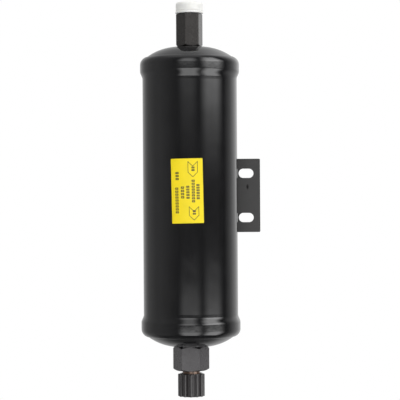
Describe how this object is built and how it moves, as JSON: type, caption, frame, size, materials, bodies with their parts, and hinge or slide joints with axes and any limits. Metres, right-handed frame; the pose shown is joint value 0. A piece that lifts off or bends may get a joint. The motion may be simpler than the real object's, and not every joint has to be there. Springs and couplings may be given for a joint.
{
  "type": "filter drier",
  "caption": "In-line filter drier: black steel body with a welded slotted side bracket, female inlet with push-in plug, male flare outlet with screw cap, spring-loaded desiccant inside.",
  "frame": {"origin": "on the bracket's flat back face, in line with the body's axis and midway between the two slots", "axes": "+Z along the body's axis towards the inlet, +Y out of the bracket's back face towards the wall, +X from the body's axis towards the bracket's free edge"},
  "size_m": [0.0979, 0.0807, 0.3181],
  "materials": {
    "black_paint": "gloss",
    "label_film": "satin",
    "white_polyethylene": "satin",
    "black_polyethylene": "satin",
    "seal_rubber": "matte",
    "bare_steel": "satin",
    "felt": "matte",
    "desiccant": "matte",
    "brass_gauze": "satin"
  },
  "bodies": {
    "drier": {"shell_tube": "black_paint", "inlet_end_cap": "black_paint", "outlet_end_cap": "black_paint", "inlet_fitting": "black_paint", "outlet_fitting": "black_paint", "mounting_bracket": "black_paint", "label": "label_film", "outlet_strainer": "brass_gauze", "lower_perforated_plate": "bare_steel", "lower_screen": "bare_steel", "lower_filter_pad": "felt", "desiccant_bed": "desiccant", "upper_filter_pad": "felt", "upper_screen": "bare_steel", "upper_perforated_plate": "bare_steel", "bed_spring": "bare_steel"},
    "plug": {"inlet_plug": "white_polyethylene"},
    "cap_seal": {"outlet_cap_seal": "seal_rubber"},
    "screw_cap": {"outlet_cap": "black_polyethylene"}
  },
  "joints": [
    {"name": "plug_pull", "type": "slide", "parent": "drier", "child": "plug", "axis": [0, 0, 1], "range_m": [0, 0.012]},
    {"name": "cap_travel", "type": "slide", "parent": "drier", "child": "cap_seal", "axis": [0, 0, -1], "range_m": [0, 0.0113]},
    {"name": "cap_turn", "type": "hinge", "parent": "cap_seal", "child": "screw_cap", "pos_m": [0, -0.0407, -0.1527], "axis": [0, 0, -1], "range_deg": [0, 2880]}
  ],
  "couplings": [
    {"joint": "cap_travel", "follows": "cap_turn", "m_per_rad": 0.00022459}
  ]
}
